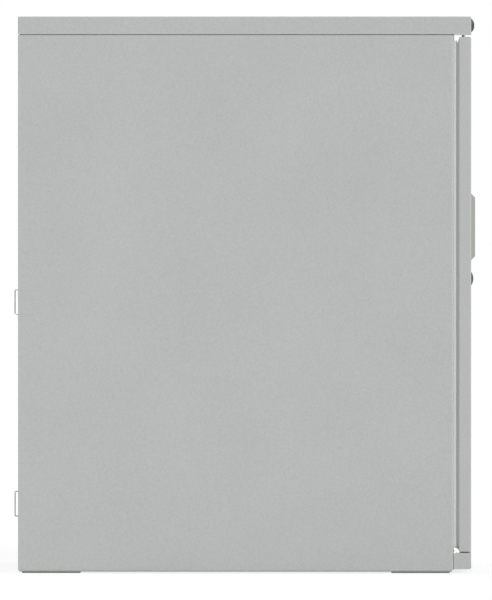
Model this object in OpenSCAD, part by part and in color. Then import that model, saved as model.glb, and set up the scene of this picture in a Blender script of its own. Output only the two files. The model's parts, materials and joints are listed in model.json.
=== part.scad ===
// Battery box: a free-standing sheet-steel cabinet for two tiers of batteries.
// It has a lift-off lid, a front door on pivot pins, a recessed pull, a cam lock,
// strap loops on the rear and thin rubber feet.
// Millimetres, +Z up, front towards -Y, origin on the floor below the middle.

/* [Cabinet] */
// Width across the side panels
cabinet_w = 400; // [340:1:460]
// Depth of the side panels, from the rear face to the jamb face
cabinet_d = 449; // [400:1:500]
// Height of the side panels, from the underside to the shoulder below the lid
wall_h = 552.7; // [520:0.1:600]
// Thickness of the folded steel sheet
sheet = 1.5; // [1.2:0.1:1.8]
// Outside radius of the bends
bend_r = 2.5; // [2.2:0.1:3.5]
// Outside radius of the bend between a side panel and its jamb
jamb_r = 2; // [1.9:0.1:2.5]
// Outside radius of the bend at the foot of the side panels
foot_bend_r = 1.9; // [1.9:0.1:3]
// Width of the jamb flange on each side panel
jamb_w = 25; // [22:0.5:30]
// Width of the flange below each side panel
base_flange_w = 22; // [20.5:0.5:30]
// Radius of the lower rear corner of the side panels
heel_r = 3; // [1:0.5:5]
// Depth of the flanges on the rear panel
rear_flange_d = 15; // [10:1:25]
// Gap left between welded sheets that meet edge to face
weld_gap = 0.2; // [0.1:0.05:0.3]

/* [Lid] */
// Height of the lid
lid_h = 19.2; // [18.5:0.1:26]
// Outside radius of the lid's edges
lid_edge_r = 1.2; // [0.8:0.1:1.4]
// Clearance between the lid's skirt and the lips inside it
lip_clear = 0.5; // [0.3:0.1:0.8]
// Rise of the step between the walls and their lips
step_h = 1; // [0.8:0.1:1.5]
// Gap between the top of the step and the lid's skirt
lid_seam = 0.1; // [0.1:0.1:0.4]
// Height by which the skirt is cut back where it stands over the walls
lid_relief = 1; // [0.5:0.1:1.4]
// Width of the hook tabs on the lid's rear skirt
hook_w = 30; // [20:1:40]
// Reach of the hook tabs
hook_reach = 9; // [7:0.5:14]
// Distance between the hook tabs
hook_spacing = 240; // [180:5:280]
// Clearance round a hook tab in its slot
hook_clear = 1; // [0.5:0.1:1.5]

/* [Door] */
// Depth of the door pan
door_d = 15.5; // [14.5:0.1:18]
// Distance of the door's edges from the cabinet's sides
door_inset = 1; // [0.5:0.1:2]
// Gap between the door and the lid
door_gap_top = 1.7; // [1.2:0.1:2.5]
// Gap between the door and the sill
door_gap_bottom = 1.4; // [1.2:0.1:2.5]
// Outside radius of the door's front edges
door_edge_r = 1.4; // [0.8:0.1:1.6]
// Width of the door's return flanges
door_return_w = 20; // [16:0.5:24]
// Depth of the slope round the door's returns
door_slope_d = 3.3; // [2.5:0.1:3.5]
// Height of the slope at the door's top and bottom returns
door_slope_h = 10.5; // [6:0.5:12]
// Width of the slope at the door's side returns
door_slope_w = 2.8; // [2:0.1:6]
// Distance from the door's top and bottom edges to the ends of its side returns
door_tab_drop = 3.8; // [3:0.1:5]
// Height of the slanted cut across the ends of the side returns
door_tab_cut = 4; // [2.5:0.1:5]
// Width of the stiffener's crown
stiffener_w = 40; // [25:1:60]
// Depth of the stiffener
stiffener_d = 8; // [6:0.5:10]
// Thickness of the stiffener's sheet
stiffener_t = 1.2; // [0.8:0.1:1.5]
// Width of each stiffener flange
stiffener_flange_w = 12; // [8:1:18]
// Distance between the stiffener's ends and the door's edges
stiffener_end = 32; // [26:1:60]

/* [Seal] */
// Gap between the jamb face and the door's returns
seal_gap = 2.5; // [2:0.1:3.2]
// Gap left between the seal and the closed door
seal_clear = 0.3; // [0.2:0.05:0.5]
// Width of the seal
seal_w = 10; // [8:0.5:12]
// Distance of the seal from the door's top and bottom edges
seal_inset_z = 4; // [3:0.1:6]
// Distance of the seal from the latch side of the cabinet
seal_inset_latch = 3.6; // [2:0.1:6]
// Distance of the seal from the hinge axis
seal_inset_hinge = 6; // [5.5:0.1:8]
// Outside corner radius of the seal
seal_corner_r = 3; // [1:0.5:6]

/* [Sill] */
// Height of the sill
sill_h = 16.6; // [16:0.1:22]
// Height of the sill above the underside of the side panels
sill_lift = 2.7; // [2:0.1:6]
// Outside radius of the sill's front edges
sill_edge_r = 2; // [0.8:0.1:2.4]
// Rim of the sill's rear upstand above its nuts
sill_back_rim = 1.2; // [0.5:0.1:2]
// Height of the floor pan's upstand below the door
floor_front_h = 35; // [34:0.5:45]
// Height of the floor pan's upstand at the rear
floor_rear_h = 20; // [12:1:40]

/* [Header] */
// Height of the top rail below the shoulder of the walls
rail_drop = 17; // [16.5:0.5:30]
// Depth of the top rail's flanges
rail_flange_d = 14; // [10:1:25]
// Clearance round the header inside the lid
header_clear = 0.3; // [0.2:0.1:0.5]
// Clearance between the header's ends and the lid's side skirts
header_end_clear = 1; // [0.5:0.1:2]
// Outside radius of the header's bends
header_bend_r = 2.1; // [1.9:0.1:2.2]
// Height of the header's rear flange
header_back_h = 13; // [12:0.5:14]
// Number of vent windows
vent_count = 4; // [2:2:4]
// Distance between vent windows
vent_pitch = 63; // [55:1:70]
// Length of a vent window
vent_l = 40; // [25:1:42]
// Height of a vent window
vent_h = 4; // [2:0.5:6]
// Distance from the middle to the outer header screws
header_screw_x = 126; // [122:1:140]

/* [Hinge] */
// Diameter of the hinge pins
pin_d = 4; // [3.5:0.1:4.4]
// Radial running clearance of the pins in their bushes
pin_clear = 0.05; // [0.02:0.01:0.1]
// Length of a pin inside the door
pin_reach = 13; // [9:0.5:18]
// Lip of a pin's head beyond its shank
pin_head_lip = 0.7; // [0.4:0.1:0.8]
// Height of a pin's head
pin_head_h = 2; // [1.5:0.1:2.5]
// Distance of the hinge axis from the door's edge
hinge_inset = 7; // [6.5:0.1:8]
// Distance of the hinge axis behind the door's front
hinge_back = 8; // [7.5:0.1:8.2]
// Outside diameter of the bushes
bush_d = 6; // [5.5:0.1:6.2]
// Thickness of a bush's closed end
bush_end = 2; // [1:0.5:4]
// Radial gap between fixed round pieces and their holes
seat_clear = 0.03; // [0.02:0.01:0.08]
// Gap between a pin's tip and the closed end of its bush
tip_clear = 0.1; // [0.05:0.05:0.4]

/* [Pull handle] */
// Height of the pull's flange
handle_h = 68.3; // [66:0.1:80]
// Width of the pull's flange
handle_w = 46; // [44:0.5:60]
// Distance that the flange stands proud of the door
handle_proud = 4; // [2.5:0.1:6]
// Height of the pull's middle above the door's lower edge
handle_rise = 334.3; // [300:0.1:400]
// Distance of the pull's middle from the door's latch edge
handle_inset = 39; // [38:0.5:60]
// Width of the finger opening
cup_w = 26; // [20:0.5:27]
// Height of the finger opening
cup_h = 45; // [36:0.5:46]
// Depth of the cup behind the door's front
cup_d = 12; // [9:0.1:12.5]
// Wall of the cup
cup_wall = 2; // [1.5:0.1:2.2]
// Corner radius of the finger opening
cup_r = 5; // [2:0.5:9]
// Width of the undercut behind the flange that the fingers hook into
grip_w = 4; // [2:0.1:4.5]
// Thickness of the flange behind the door's front at the undercut
grip_lip = 1; // [0.5:0.1:2]
// Clearance round the cup in the door
cup_clear = 0.2; // [0.1:0.05:0.4]
// Diameter of the pull's studs
handle_stud_d = 4; // [3:0.1:4.2]
// Distance between the pull's studs
handle_stud_spacing = 58.6; // [58:0.1:60]
// Length of a stud beyond its nut
handle_stud_end = 1; // [0.5:0.1:2]
// Width across flats of the nuts on the pull's studs
handle_nut_af = 7; // [6.5:0.1:7.4]
// Thickness of the nuts on the pull's studs
handle_nut_t = 3.2; // [2.5:0.1:4]

/* [Lock] */
// Gap between the pull's flange and the lock's head below it
lock_gap = 12.1; // [6:0.1:60]
// Diameter of the lock's head
lock_head_d = 14.3; // [13.5:0.1:18]
// Height of the lock's domed head
lock_head_h = 2.2; // [1.8:0.1:3]
// Diameter of the lock's barrel
barrel_d = 12; // [11:0.1:12.5]
// Diameter of the turning plug
plug_d = 8; // [7:0.1:8.5]
// Step at the front of the plug that keeps it from passing through
plug_step = 0.8; // [0.5:0.1:1]
// Length of the stepped front of the plug
plug_step_l = 1.2; // [0.8:0.1:1.5]
// Width across the plug's square end
plug_square = 5; // [4.5:0.1:5.4]
// Length of the keyway
keyway_l = 6; // [5:0.1:6.5]
// Width of the keyway
keyway_w = 1.6; // [1:0.1:2.4]
// Depth of the keyway
keyway_d = 5; // [2:0.5:8]
// Distance from the lock's axis to the cam's tip
cam_l = 29; // [25:0.5:32]
// Width of the cam
cam_w = 14; // [10:0.5:15]
// Thickness of the cam
cam_t = 2; // [1.5:0.1:2.5]
// Clearance between the cam and the back of the jamb
cam_clear = 0.8; // [0.4:0.1:1.5]
// Gap between the cam and the barrel
cam_gap = 0.2; // [0.1:0.05:0.4]
// Diameter of the cam's screw
cam_screw_d = 2.5; // [2:0.1:3]
// Length of the cam's screw
cam_screw_l = 10; // [6:0.5:14]
// Diameter of the cam's screw head
cam_screw_head_d = 8; // [7.8:0.1:10]
// Height of the cam's screw head
cam_screw_head_h = 2; // [1.5:0.1:3]
// Clearance round the plug's square end in the cam
cam_fit = 0.05; // [0.02:0.01:0.1]
// Width across flats of the lock's nut
lock_nut_af = 17; // [16:0.5:19]
// Thickness of the lock's nut
lock_nut_t = 4; // [3:0.1:6]

/* [Strap loops] */
// Width of a loop
loop_w = 14; // [10:1:35]
// Height of a loop
loop_h = 26.3; // [24:0.1:34]
// Distance that a loop stands proud of the rear
loop_proud = 4; // [3:0.1:7]
// Thickness of a loop's strip
loop_t = 0.8; // [0.8:0.1:1.4]
// Outside radius of a loop's corners
loop_r = 1.6; // [1.5:0.1:2.4]
// Height of the upper loops above the underside of the side panels
loop_upper = 277.3; // [240:0.1:320]
// Height of the lower loops above the underside of the side panels
loop_lower = 69.5; // [50:0.1:110]
// Distance of the loops' middle from the cabinet's sides
loop_inset = 26; // [22:1:120]
// Clearance round a loop's legs in the rear panel
loop_clear = 0.1; // [0.05:0.05:0.2]

/* [Feet] */
// Thickness of the foot pads
foot_t = 1.5; // [1:0.1:5]
// Length of the foot pads
foot_l = 60; // [40:1:90]
// Width of the foot pads
foot_w = 16; // [12:0.5:17]
// Distance of the foot pads from the front and rear of the side panels
foot_inset = 4.2; // [3:0.1:20]
// Corner radius of the foot pads
foot_r = 2; // [1:0.5:5]

/* [Shelf] */
// Height of the shelf's top above the underside of the side panels
shelf_rise = 284; // [240:1:300]
// Thickness of the shelf's sheet
shelf_t = 2; // [1.5:0.1:2.5]
// Height of the shelf's front and rear flanges
shelf_flange_h = 15; // [10:1:24]
// Distance of the shelf's front behind the jamb face
shelf_front = 22; // [15:1:40]
// Clearance of the shelf from the panels beside and behind it
shelf_clear = 1; // [0.5:0.1:2]
// Leg of the shelf rails
rail_leg = 25; // [22:1:32]
// Thickness of the shelf rails
rail_t = 2; // [1.5:0.1:3]
// Distance between the shelf rails' ends and the shelf's ends
rail_end = 24; // [18:1:40]
// Distance of the shelf screws from the rails' ends
shelf_screw_end = 25; // [15:1:60]

/* [Straps and anchors] */
// Length of a slot for battery straps
strap_slot_l = 28; // [22:1:40]
// Width of a slot for battery straps
strap_slot_w = 5; // [3:0.5:8]
// Distance between strap slots across the box
strap_spacing_x = 180; // [160:1:200]
// Distance between strap slots from front to rear
strap_spacing_y = 280; // [240:1:290]
// Diameter of the floor anchor holes
anchor_d = 11; // [7:0.5:13]
// Distance between floor anchors across the box
anchor_spacing_x = 260; // [230:1:270]
// Distance between floor anchors from front to rear
anchor_spacing_y = 340; // [320:1:350]
// Diameter of a cable knockout
knockout_d = 28; // [20:0.5:34]
// Width of the slit round a knockout
knockout_slit = 0.8; // [0.5:0.1:1.2]
// Width of the tabs that hold a knockout
knockout_tab = 3; // [2:0.5:5]
// Distance between the knockouts
knockout_spacing = 70; // [50:1:120]
// Distance of the knockouts below the shoulder of the walls
knockout_drop = 62; // [40:1:120]

/* [Fasteners] */
// Diameter of the lid's screws
lid_screw_d = 6; // [5:0.1:6.5]
// Diameter of the lid's screw heads
lid_screw_head_d = 14.3; // [12:0.1:16]
// Height of the lid's screw heads
lid_screw_head_h = 3.4; // [2.5:0.1:4.5]
// Length of the lid's screws
lid_screw_l = 13; // [11:0.5:14]
// Height of the lid's screws above the lid's lower edge
lid_screw_rise = 10; // [8.5:0.1:10.5]
// Distance of the lid's screws from the cabinet's sides
lid_screw_inset = 34; // [28:1:50]
// Diameter of the rivet nuts' barrels
rivnut_d = 9; // [8:0.1:9.5]
// Diameter of the rivet nuts' flanges
rivnut_flange_d = 12; // [10.5:0.1:14]
// Thickness of the rivet nuts' flanges
rivnut_flange_t = 1; // [0.6:0.1:1.2]
// Length of the rivet nuts behind the header
rivnut_l = 8; // [6:0.5:9]
// Diameter of the machine screws inside the box
screw_d = 5; // [4:0.1:5.2]
// Diameter of the machine screws' heads
screw_head_d = 9; // [8:0.1:9.4]
// Height of the machine screws' heads
screw_head_h = 3; // [2:0.1:3.5]
// Thickness of the nuts on the machine screws
screw_nut_t = 4; // [3:0.1:4.2]
// Width across flats of the nuts on the machine screws
screw_nut_af = 8; // [7.5:0.1:8.4]
// Clearance round a screw's shank
screw_clear = 0.25; // [0.1:0.05:0.4]
// Distance from the middle to the sill's screws
sill_screw_x = 130; // [100:1:140]
// Diameter of the earth stud
earth_d = 6; // [5:0.1:7]
// Diameter of the earth stud's welded base
earth_base_d = 9; // [8.5:0.1:12]
// Thickness of the earth stud's welded base
earth_base_t = 1; // [0.6:0.1:2]
// Diameter of the earth washer
earth_washer_d = 12; // [10:0.1:16]
// Thickness of the earth washer
earth_washer_t = 1.6; // [1:0.1:2]
// Width across flats of the earth nuts
earth_nut_af = 10; // [9.5:0.1:13]
// Thickness of the earth nuts
earth_nut_t = 5; // [4:0.1:6]
// Length of the earth stud
earth_l = 20; // [16:0.5:24]
// Height of the earth stud above the underside of the side panels
earth_rise = 60; // [45:1:150]
// Distance of the earth stud behind the jamb face
earth_back = 70; // [30:1:120]

/* [Hidden] */
$fn = 96;
// Margin by which a cut runs past the face it cuts
cut = 1;
// Sides of a hexagonal nut
hex = 6;

// Heights, upwards from the floor
z_base = foot_t;
z_shoulder = z_base + wall_h;
z_step = z_shoulder + step_h;
z_lid = z_step + lid_seam - lid_relief;
z_top = z_lid + lid_h;
z_lip = z_top - sheet;
z_floor = z_base + sheet;
z_sill = z_base + sill_lift;
z_sill_top = z_sill + sill_h;
z_door = z_sill_top + door_gap_bottom;
z_door_top = z_lid - door_gap_top;
z_header = z_lid + header_clear;
z_shelf = z_base + shelf_rise;
z_handle = z_door + handle_rise;
z_lock = z_handle - (handle_h + lock_head_d) / 2 - lock_gap;
z_lid_screw = z_lid + lid_screw_rise;
z_header_screw = z_header + header_back_h / 2;
z_sill_screw = max(z_floor + bend_r + screw_head_d / 2, z_sill + sheet + screw_nut_af / 2) + screw_clear;
z_sill_back = z_sill_screw + screw_nut_af / 2 + sill_back_rim;

// Depths, from the rear at +Y to the front at -Y
proud = max(handle_proud, lid_screw_head_h, lock_head_h);
y_rear = (cabinet_d + seal_gap + door_d + proud - loop_proud) / 2;
y_jamb = y_rear - cabinet_d;
y_return = y_jamb - seal_gap;
y_front = y_return - door_d;
y_header = y_front + sheet + rivnut_flange_t + header_clear;
y_hinge = y_front + hinge_back;
y_cam = y_jamb + sheet + cam_clear;
y_shelf = y_jamb + shelf_front;
y_shelf_rear = y_rear - sheet - shelf_clear;
y_rail = y_shelf + rail_end;
y_rail_rear = y_shelf_rear - rail_end;

// Widths, outwards from the middle
x_side = cabinet_w / 2;
x_frame = x_side - jamb_w - weld_gap;
x_door = x_side - door_inset;
x_hinge = x_door - hinge_inset;
x_handle = -x_door + handle_inset;
x_lid_screw = x_side - lid_screw_inset;
x_loop = x_side - loop_inset;
x_shelf = x_side - 2 * sheet - shelf_clear;
x_shelf_screw = x_side - sheet - (rail_leg + rail_t) / 2;

// The step that brings the walls in behind the lid's skirt
step_in = sheet + lip_clear;
step_fall = sheet * tan(atan2(step_in, step_h) / 2);
step_root = 2 * sheet;

// Depth and length of a sloped corner, on the face that lies inside it by an inset
function inset_slope(depth, length, inset) =
    let (slant = norm([depth, length]))
    [depth, length] + inset * [(slant - depth) / length - 1, (slant - length) / depth - 1];

// The washer's place along the earth stud
z_earth_washer = earth_base_t + earth_nut_t;

// The hinge pins' heads and the bushes they run in
pin_head_d = pin_d + 2 * pin_head_lip;
bush_l = pin_reach + tip_clear + bush_end;

// The lock, measured from the door's front along its axis
barrel_l = y_cam - cam_gap - y_front;
plug_l = y_cam - y_front;

// Colours
powder_coat = [0.71, 0.72, 0.72];
zinc_steel = [0.62, 0.63, 0.63];
dark_steel = [0.40, 0.40, 0.40];
die_cast = [0.66, 0.66, 0.64];
seal_grey = [0.76, 0.77, 0.78];
rubber = [0.30, 0.30, 0.29];
nylon = [0.85, 0.85, 0.82];

// A profile drawn in Y and Z, run along X
module along_x(x0, x1) {
    translate([x0, 0, 0]) rotate([90, 0, 90]) linear_extrude(x1 - x0) children();
}

// A profile drawn in X and Z, run along Y
module along_y(y0, y1) {
    translate([0, y1, 0]) rotate([90, 0, 0]) linear_extrude(y1 - y0) children();
}

// A profile drawn in X and Y, run along Z
module along_z(z0, z1) {
    translate([0, 0, z0]) linear_extrude(z1 - z0) children();
}

module box(low, high) {
    translate(low) cube(high - low);
}

module both_sides() {
    children();
    mirror([1, 0, 0]) children();
}

// Stands its children on the door's plane, with their +Z towards the front
module facing_front(x, y, z) {
    translate([x, y, z]) rotate([90, 0, 0]) children();
}

// A rectangle with its own radius at each corner, anticlockwise from the lowest
module rounded_rect(low, high, r) {
    corners = [
        [low.x, low.y, 1, 1],
        [high.x, low.y, -1, 1],
        [high.x, high.y, -1, -1],
        [low.x, high.y, 1, -1]
    ];
    difference() {
        translate(low) square(high - low);
        for (i = [0:3]) if (r[i] > 0) corner_cut(corners[i], r[i]);
    }
}

module corner_cut(corner, r) {
    centre = [corner[0] + corner[2] * r, corner[1] + corner[3] * r];
    difference() {
        translate([min(corner[0], centre.x), min(corner[1], centre.y)]) square(r);
        translate(centre) circle(r);
    }
}

// The bend of a folded sheet, with its outer corner at the origin
module elbow(t, r) {
    intersection() {
        translate([r, r]) difference() {
            circle(r);
            circle(r - t);
        }
        square(r);
    }
}

// A sheet folded to a right angle, with legs along +X and +Y
module folded_angle(leg_x, leg_y, t, r) {
    elbow(t, r);
    translate([r, 0]) square([leg_x - r, t]);
    translate([0, r]) square([t, leg_y - r]);
}

// The top of a wall, stepped inwards to stand behind the lid's skirt
module stepped_lip() {
    polygon([
        [0, z_shoulder - step_root],
        [0, z_shoulder],
        [step_in, z_step],
        [step_in, z_lip],
        [step_in + sheet, z_lip],
        [step_in + sheet, z_step - step_fall],
        [sheet, z_shoulder - step_fall],
        [sheet, z_shoulder - step_root]
    ]);
}

// A hole through sheet of thickness t that lies at the origin
module hole(d, t) {
    cylinder(h = 2 * (t + cut), d = d, center = true);
}

module hex_nut(af, t, bore_d) {
    difference() {
        cylinder(h = t, d = af / cos(180 / hex), $fn = hex);
        translate([0, 0, -cut]) cylinder(h = t + 2 * cut, d = bore_d + 2 * seat_clear);
    }
}

// A low dome that meets its base at the rim
module dome(d, h) {
    r = (d * d / 4 + h * h) / (2 * h);
    intersection() {
        cylinder(h = h, d = d);
        translate([0, 0, h - r]) sphere(r);
    }
}

// A pan-head screw, with its head's seat at the origin and its shank downwards
module pan_screw(l) {
    socket = screw_head_h / 2;
    difference() {
        union() {
            dome(screw_head_d, screw_head_h);
            translate([0, 0, -l]) cylinder(h = l + socket, d = screw_d);
        }
        translate([0, 0, socket]) cylinder(h = screw_head_h, d = screw_d / 2, $fn = hex);
    }
}

module side_panel() {
    color(powder_coat) difference() {
        union() {
            along_y(y_jamb + jamb_r, y_rear)
                translate([-x_side, z_base]) folded_angle(base_flange_w, wall_h, sheet, foot_bend_r);
            along_y(y_jamb + sheet, y_rear - step_in)
                translate([-x_side, 0]) stepped_lip();
            along_z(z_base + foot_bend_r, z_shoulder) translate([-x_side, y_jamb]) {
                elbow(sheet, jamb_r);
                translate([jamb_r, 0]) square([jamb_w - jamb_r, sheet]);
            }
        }
        along_x(-x_side - cut, -x_side + base_flange_w + cut)
            corner_cut([y_rear, z_base, -1, 1], heel_r);
    }
}

module left_side_panel() {
    side_panel();
}

module right_side_panel() {
    mirror([1, 0, 0]) side_panel();
}

module rear_panel() {
    x_web = x_side - sheet;
    x_lip = x_side - step_in - sheet - lip_clear;
    color(powder_coat) difference() {
        union() {
            along_z(z_floor + sheet + weld_gap, z_shoulder - step_root)
                both_sides()
                    translate([-x_web, y_rear]) mirror([0, 1])
                        folded_angle(x_web, rear_flange_d, sheet, bend_r);
            along_x(-x_lip, x_lip) translate([y_rear, 0]) mirror([1, 0]) stepped_lip();
        }
        loop_slots();
        both_sides() knockout_slit();
        both_sides() hook_slot();
    }
}

module loop_slots() {
    slot = [loop_w + 2 * loop_clear, 2 * cut + sheet, loop_t + 2 * loop_clear];
    for (x = [-x_loop, x_loop], rise = [loop_lower, loop_upper], side = [-1, 1])
        translate([x, y_rear - sheet / 2, z_base + rise + side * (loop_h - loop_t) / 2])
            cube(slot, center = true);
}

module knockout_slit() {
    slit_d = knockout_d + 2 * knockout_slit;
    facing_front(knockout_spacing / 2, y_rear - sheet / 2, z_shoulder - knockout_drop) difference() {
        cylinder(h = sheet + 2 * cut, d = slit_d, center = true);
        cylinder(h = sheet + 4 * cut, d = knockout_d, center = true);
        cube([slit_d + cut, knockout_tab, sheet + 4 * cut], center = true);
    }
}

module hook_slot() {
    y_lip = y_rear - step_in;
    z_hook = z_lid + lid_h / 2;
    x_hook = hook_spacing / 2;
    box([x_hook - hook_w / 2 - hook_clear, y_lip - sheet - cut, z_hook - hook_clear],
        [x_hook + hook_w / 2 + hook_clear, y_lip + cut, z_hook + sheet + hook_clear]);
}

module floor_pan() {
    middle = cabinet_d / 2;
    x_wing = x_side - foot_bend_r - weld_gap;
    color(powder_coat) difference() {
        union() {
            along_x(-x_frame, x_frame) {
                translate([y_jamb, z_floor]) folded_angle(middle, floor_front_h, sheet, bend_r);
                translate([y_rear - sheet, z_floor]) mirror([1, 0])
                    folded_angle(middle - sheet, floor_rear_h, sheet, bend_r);
            }
            both_sides() box([x_frame, y_jamb + sheet + weld_gap, z_floor],
                             [x_wing, y_rear - sheet - bend_r, z_floor + sheet]);
        }
        strap_slots(z_floor, sheet);
        for (x = [-1, 1], y = [-1, 1])
            translate([x * anchor_spacing_x / 2, y * anchor_spacing_y / 2, z_floor - cut])
                cylinder(h = sheet + 2 * cut, d = anchor_d);
        for (x = [-1, 1]) facing_front(x * sill_screw_x, y_jamb, z_sill_screw)
            hole(screw_d + 2 * screw_clear, sheet);
    }
}

module strap_slots(z, t) {
    for (x = [-1, 1], y = [-1, 1])
        translate([x * strap_spacing_x / 2, y * strap_spacing_y / 2, z + t / 2])
            cube([strap_slot_l, strap_slot_w, t + 2 * cut], center = true);
}

module vent_windows(y0, y1, z) {
    for (i = [0:vent_count - 1]) {
        x = (i - (vent_count - 1) / 2) * vent_pitch;
        box([x - vent_l / 2, y0, z - vent_h / 2], [x + vent_l / 2, y1, z + vent_h / 2]);
    }
}

module header_screw_places() {
    for (x = [-header_screw_x, -vent_pitch, vent_pitch, header_screw_x])
        facing_front(x, y_jamb, z_header_screw) children();
}

module top_rail() {
    z_rail = z_shoulder - rail_drop;
    half = (z_lip - z_rail) / 2;
    color(powder_coat) difference() {
        union() {
            along_x(-x_frame, x_frame) translate([y_jamb, 0]) {
                translate([0, z_rail]) folded_angle(rail_flange_d, half, sheet, bend_r);
                translate([0, z_lip]) mirror([0, 1]) folded_angle(rail_flange_d, half, sheet, bend_r);
            }
            both_sides() box([x_frame, y_jamb, z_shoulder + weld_gap],
                             [x_side - step_in, y_jamb + sheet, z_lip - bend_r]);
        }
        vent_windows(y_jamb - cut, y_jamb + sheet + cut, z_header_screw);
        header_screw_places() hole(screw_d + 2 * screw_clear, sheet);
    }
}

module header() {
    x_end = x_side - sheet - header_end_clear;
    half = (y_jamb - y_header) / 2;
    color(powder_coat) difference() {
        along_x(-x_end, x_end) {
            translate([y_header, z_header])
                folded_angle(half, z_lip - header_clear - z_header, sheet, header_bend_r);
            translate([y_jamb, z_header]) mirror([1, 0])
                folded_angle(half, header_back_h, sheet, header_bend_r);
        }
        vent_windows(y_jamb - sheet - cut, y_jamb + cut, z_header_screw);
        translate([0, 0, z_header + sheet / 2]) rotate([90, 0, 0])
            vent_windows(-sheet, sheet, -(y_header + y_jamb) / 2);
        header_screw_places() hole(screw_d + 2 * screw_clear, sheet);
        translate([x_hinge, y_hinge, z_header - cut])
            cylinder(h = sheet + 2 * cut, d = pin_d + 2 * seat_clear);
        for (x = [-x_lid_screw, x_lid_screw]) facing_front(x, y_header, z_lid_screw)
            hole(rivnut_d + 2 * seat_clear, sheet);
    }
}

module header_screws() {
    color(zinc_steel) header_screw_places() mirror([0, 0, 1]) translate([0, 0, sheet])
        pan_screw(2 * sheet + screw_nut_t);
}

module header_nuts() {
    color(zinc_steel) header_screw_places() translate([0, 0, sheet])
        hex_nut(screw_nut_af, screw_nut_t, screw_d);
}

module sill() {
    low = [y_front, z_sill];
    high = [y_jamb, z_sill_top];
    wall = [sheet, sheet];
    x_hollow = x_side - sheet;
    color(powder_coat) difference() {
        along_x(-x_side, x_side) rounded_rect(low, high, [sill_edge_r, 0, 0, sill_edge_r]);
        along_x(-x_hollow, x_hollow) rounded_rect(low + wall, high - wall, [0, 0, 0, 0]);
        box([-x_hollow, y_jamb - sheet - cut, z_sill_back],
            [x_hollow, y_jamb + cut, z_sill_top - sheet]);
        translate([x_hinge, y_hinge, z_sill_top - sheet - cut])
            cylinder(h = sheet + 2 * cut, d = pin_d + 2 * seat_clear);
        for (x = [-1, 1]) facing_front(x * sill_screw_x, y_jamb, z_sill_screw)
            hole(screw_d + 2 * screw_clear, sheet);
    }
}

module sill_screws() {
    color(zinc_steel) for (x = [-1, 1]) facing_front(x * sill_screw_x, y_jamb + sheet, z_sill_screw)
        mirror([0, 0, 1]) pan_screw(2 * sheet + screw_nut_t);
}

module sill_nuts() {
    color(zinc_steel) for (x = [-1, 1]) facing_front(x * sill_screw_x, y_jamb - sheet, z_sill_screw)
        hex_nut(screw_nut_af, screw_nut_t, screw_d);
}

module lid() {
    r = lid_edge_r;
    skirt = z_lid - 2 * r;
    z_hook = z_lid + lid_h / 2;
    color(powder_coat) {
        difference() {
            intersection() {
                along_y(y_front - cut, y_rear + cut)
                    rounded_rect([-x_side, skirt], [x_side, z_top], [0, 0, r, r]);
                along_x(-x_side - cut, x_side + cut)
                    rounded_rect([y_front, skirt], [y_rear, z_top], [0, 0, r, r]);
                along_z(z_lid, z_top + cut)
                    rounded_rect([-x_side, y_front], [x_side, y_rear], [r, r, r, r]);
            }
            box([-x_side + sheet, y_front + sheet, z_lid - cut], [x_side - sheet, y_rear - sheet, z_lip]);
            box([-x_side - cut, y_jamb, z_lid - cut], [x_side + cut, y_rear + cut, z_lid + lid_relief]);
            for (x = [-x_lid_screw, x_lid_screw]) facing_front(x, y_front, z_lid_screw)
                hole(lid_screw_d + 2 * screw_clear, sheet);
        }
        both_sides() box([(hook_spacing - hook_w) / 2, y_rear - sheet - hook_reach, z_hook],
                         [(hook_spacing + hook_w) / 2, y_rear - sheet, z_hook + sheet]);
    }
}

module lid_screws() {
    socket = lid_screw_head_h / 3;
    color(dark_steel) for (x = [-x_lid_screw, x_lid_screw]) facing_front(x, y_front, z_lid_screw)
        difference() {
            union() {
                dome(lid_screw_head_d, lid_screw_head_h);
                translate([0, 0, -lid_screw_l]) cylinder(h = lid_screw_l + socket, d = lid_screw_d);
            }
            translate([0, 0, socket]) cylinder(h = lid_screw_head_h, d = lid_screw_d * 2 / 3, $fn = hex);
        }
}

module lid_rivnuts() {
    color(zinc_steel) for (x = [-x_lid_screw, x_lid_screw]) facing_front(x, y_header, z_lid_screw)
        difference() {
            union() {
                cylinder(h = rivnut_flange_t, d = rivnut_flange_d);
                translate([0, 0, -rivnut_l]) cylinder(h = rivnut_l, d = rivnut_d);
            }
            translate([0, 0, -rivnut_l - cut])
                cylinder(h = rivnut_l + rivnut_flange_t + 2 * cut, d = lid_screw_d + 2 * seat_clear);
        }
}

module door_seal() {
    low = [-x_side + seal_inset_latch, z_door + seal_inset_z];
    high = [x_hinge - seal_inset_hinge, z_door_top - seal_inset_z];
    width = [seal_w, seal_w];
    outer = [1, 1, 1, 1] * seal_corner_r;
    color(seal_grey) along_y(y_return + seal_clear, y_jamb) difference() {
        rounded_rect(low, high, outer);
        rounded_rect(low + width, high - width, [0, 0, 0, 0]);
    }
}

module upper_hinge_pin() {
    z_tip = z_door_top - pin_reach;
    color(zinc_steel) translate([x_hinge, y_hinge, 0]) {
        translate([0, 0, z_tip]) cylinder(h = z_header + sheet + pin_head_h - z_tip, d = pin_d);
        translate([0, 0, z_header + sheet]) cylinder(h = pin_head_h, d = pin_head_d);
    }
}

module lower_hinge_pin() {
    z_seat = z_sill_top - sheet;
    color(zinc_steel) translate([x_hinge, y_hinge, 0]) {
        translate([0, 0, z_seat - pin_head_h]) {
            cylinder(h = z_door + pin_reach + pin_head_h - z_seat, d = pin_d);
            cylinder(h = pin_head_h, d = pin_head_d);
        }
    }
}

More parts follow.
